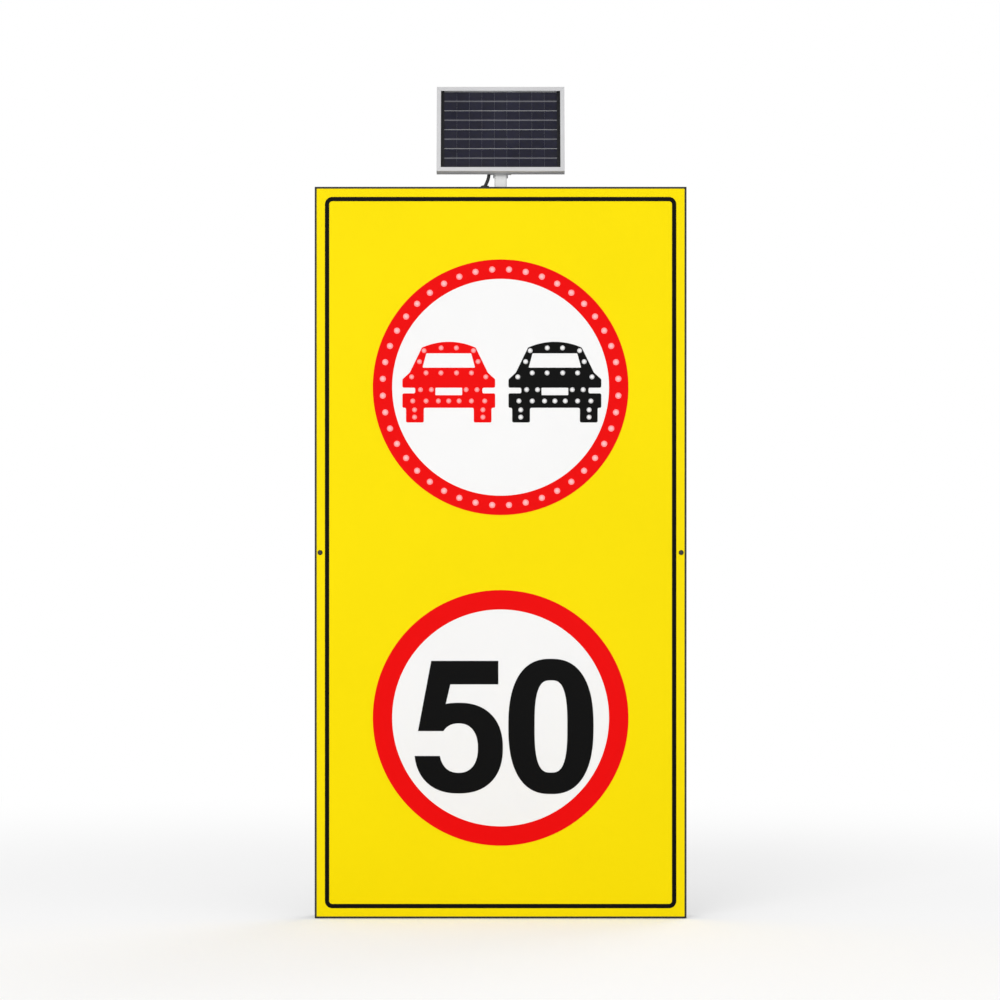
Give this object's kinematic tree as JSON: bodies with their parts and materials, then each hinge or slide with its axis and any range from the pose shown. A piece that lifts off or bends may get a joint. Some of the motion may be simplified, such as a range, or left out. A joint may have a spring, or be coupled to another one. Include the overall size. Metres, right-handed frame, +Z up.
{
  "type": "solar led road sign",
  "caption": "Upright box road sign with an LED no overtaking disc over a speed limit disc, rear post rails, and a small solar panel that tilts on a short mast.",
  "frame": {"origin": "centre of the four post-bolt holes, on the rear plane of the two rails", "axes": "+X right seen from the front, +Y backwards towards the post, +Z up; the face looks along -Y"},
  "size_m": [0.61, 0.1001, 1.3669],
  "materials": {
    "coated_box": "aluminium sheet, dark grey powder coat, fine grain",
    "yellow_film": "retroreflective yellow sheeting",
    "black_film": "black vinyl film",
    "red_film": "retroreflective red sheeting",
    "white_film": "retroreflective white sheeting",
    "led_pink": "clear moulded LED lens over red",
    "led_white": "clear moulded LED lens over black",
    "circuit_board": "green solder mask",
    "galvanised": "hot-dip galvanised steel",
    "zinc": "zinc plated fasteners",
    "black_screw": "blackened screw heads",
    "anodised": "clear anodised aluminium",
    "sheet_aluminium": "mill finish aluminium",
    "panel_glass": "tempered solar glass",
    "solar_cell": "blue-black silicon cells",
    "back_sheet": "white polymer back sheet",
    "black_plastic": "moulded black plastic",
    "battery_case": "battery case",
    "controller_case": "controller case",
    "black_rubber": "black rubber"
  },
  "bodies": {
    "sign_box": {"face_tray": "coated_box", "yellow_film": "yellow_film", "border_line": "black_film", "upper_ring": "red_film", "upper_disc": "white_film", "red_car": "red_film", "black_car": "black_film", "ring_leds": "led_pink", "red_car_leds": "led_pink", "black_car_leds": "led_white", "lower_ring": "red_film", "lower_disc": "white_film", "digit_five": "black_film", "digit_zero": "black_film", "led_board": "circuit_board", "board_spacers": "black_plastic", "mid_brace": "sheet_aluminium", "face_screws": "black_screw", "rear_cover": "coated_box", "cover_screws": "zinc", "upper_rail": "galvanised", "lower_rail": "galvanised", "cover_rivets": "anodised", "battery": "battery_case", "battery_strap": "sheet_aluminium", "charge_controller": "controller_case", "mast": "anodised", "mast_cap": "black_plastic", "mast_rivets": "anodised", "tilt_bolt": "zinc", "tilt_nut": "zinc", "cable_grommet": "black_rubber", "panel_cable": "black_rubber"},
    "solar_panel": {"tilt_bracket": "sheet_aluminium", "bracket_rivets": "anodised", "frame_top": "anodised", "frame_bottom": "anodised", "frame_left": "anodised", "frame_right": "anodised", "panel_glass": "panel_glass", "solar_cells": "solar_cell", "back_sheet": "back_sheet", "junction_box": "black_plastic", "junction_lid": "black_plastic", "cable_gland": "black_plastic"}
  },
  "joints": [
    {"name": "panel_tilt", "type": "hinge", "parent": "sign_box", "child": "solar_panel", "pos_m": [0, -0.0615, 0.628], "axis": [-1, 0, 0], "range_deg": [-15, 60], "deforming": ["panel_cable"]}
  ]
}
